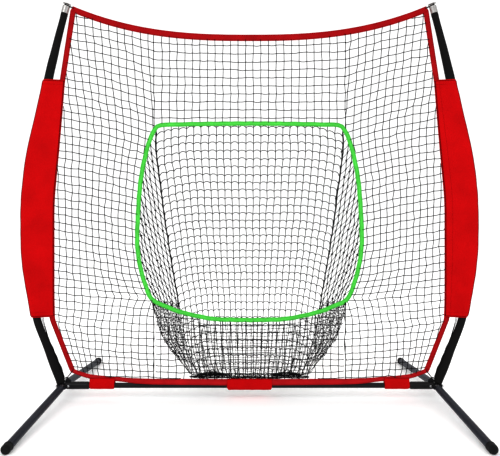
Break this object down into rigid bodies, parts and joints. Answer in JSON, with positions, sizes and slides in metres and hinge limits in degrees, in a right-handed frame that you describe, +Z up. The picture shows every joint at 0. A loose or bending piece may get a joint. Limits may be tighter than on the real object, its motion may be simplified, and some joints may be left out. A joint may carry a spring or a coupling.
{
  "type": "pitching_target_net",
  "caption": "Bow-framed sports net with a framed strike zone and a catch pocket behind it, on a folding-leg base",
  "frame": {"origin": "On the ground under the middle of the base bar, in the plane in which the net hangs", "axes": "X along the base bar with the player's right at +X; -Y to the player, +Y behind the net; Z up"},
  "size_m": [2.5646, 1.643, 2.2209],
  "materials": {
    "bar_enamel": "semi-gloss black powder coat",
    "leg_enamel": "satin navy-charcoal powder coat",
    "bracket_enamel": "satin black powder coat",
    "bright_steel": "zinc-plated steel",
    "cap_rubber": "moulded black rubber",
    "fibreglass": "pultruded black fibreglass tube",
    "tip_metal": "turned aluminium with a brushed top",
    "black_fabric": "woven black polyester",
    "red_fabric": "woven red polyester",
    "red_webbing": "folded red polyester binding tape",
    "black_netting": "knotted black twine netting, square mesh",
    "green_webbing": "bright green binding tape",
    "elastic_cord": "braided black elastic cord"
  },
  "bodies": {
    "root": {"bar_coupling": "bar_enamel", "bar_end_left": "bar_enamel", "bar_end_right": "bar_enamel", "bar_half_left": "bar_enamel", "bar_half_right": "bar_enamel", "binding_bottom": "red_webbing", "binding_left": "red_webbing", "binding_right": "red_webbing", "binding_top": "red_webbing", "bottom_tab_center": "red_fabric", "bottom_tab_left": "red_fabric", "bottom_tab_right": "red_fabric", "button_springs": "bright_steel", "corner_elastics": "elastic_cord", "end_bracket_left": "bracket_enamel", "end_bracket_right": "bracket_enamel", "frame_rivets": "bright_steel", "hinge_bolts_left": "bright_steel", "hinge_bolts_right": "bright_steel", "net_bottom": "black_netting", "net_hook_left": "bright_steel", "net_hook_right": "bright_steel", "net_left": "black_netting", "net_right": "black_netting", "net_top": "black_netting", "pocket_back": "black_netting", "pocket_front": "black_netting", "pocket_left": "black_netting", "pocket_right": "black_netting", "pole_ferrules_left": "bright_steel", "pole_ferrules_right": "bright_steel", "pole_lower_left": "fibreglass", "pole_lower_right": "fibreglass", "pole_middle_left": "fibreglass", "pole_middle_right": "fibreglass", "pole_sleeve_left": "black_fabric", "pole_sleeve_right": "black_fabric", "pole_socket_left": "bracket_enamel", "pole_socket_right": "bracket_enamel", "pole_tip_left": "tip_metal", "pole_tip_right": "tip_metal", "pole_upper_left": "fibreglass", "pole_upper_right": "fibreglass", "shock_cord_left": "elastic_cord", "shock_cord_right": "elastic_cord", "side_sleeve_left": "red_fabric", "side_sleeve_right": "red_fabric", "strike_zone_rim": "green_webbing"},
    "folding_leg_front_left": {"leg_front_left": "leg_enamel", "leg_cap_front_left": "cap_rubber"},
    "folding_leg_front_right": {"leg_front_right": "leg_enamel", "leg_cap_front_right": "cap_rubber"},
    "folding_leg_rear_left": {"leg_rear_left": "leg_enamel", "leg_cap_rear_left": "cap_rubber"},
    "folding_leg_rear_right": {"leg_rear_right": "leg_enamel", "leg_cap_rear_right": "cap_rubber"},
    "coupling_button_body": {"coupling_button": "bright_steel"},
    "socket_button_left_body": {"socket_button_left": "bright_steel"},
    "socket_button_right_body": {"socket_button_right": "bright_steel"}
  },
  "joints": [
    {"name": "front_left_leg_fold", "type": "hinge", "parent": "root", "child": "folding_leg_front_left", "pos_m": [-1.04, -0.046, 0.073], "axis": [0, 0, 1], "range_deg": [0, 90]},
    {"name": "front_right_leg_fold", "type": "hinge", "parent": "root", "child": "folding_leg_front_right", "pos_m": [1.04, -0.046, 0.073], "axis": [0, 0, -1], "range_deg": [0, 90]},
    {"name": "rear_left_leg_fold", "type": "hinge", "parent": "root", "child": "folding_leg_rear_left", "pos_m": [-1.04, 0.046, 0.073], "axis": [0, 0, -1], "range_deg": [0, 90]},
    {"name": "rear_right_leg_fold", "type": "hinge", "parent": "root", "child": "folding_leg_rear_right", "pos_m": [1.04, 0.046, 0.073], "axis": [0, 0, 1], "range_deg": [0, 90]},
    {"name": "coupling_button_press", "type": "slide", "parent": "root", "child": "coupling_button_body", "axis": [0, -1, 0], "range_m": [0, 0.004], "stiffness_N_per_m": 600, "springref_m": -0.004},
    {"name": "socket_button_left_press", "type": "slide", "parent": "root", "child": "socket_button_left_body", "axis": [0, -1, 0], "range_m": [0, 0.004], "stiffness_N_per_m": 600, "springref_m": -0.004},
    {"name": "socket_button_right_press", "type": "slide", "parent": "root", "child": "socket_button_right_body", "axis": [0, -1, 0], "range_m": [0, 0.004], "stiffness_N_per_m": 600, "springref_m": -0.004}
  ]
}
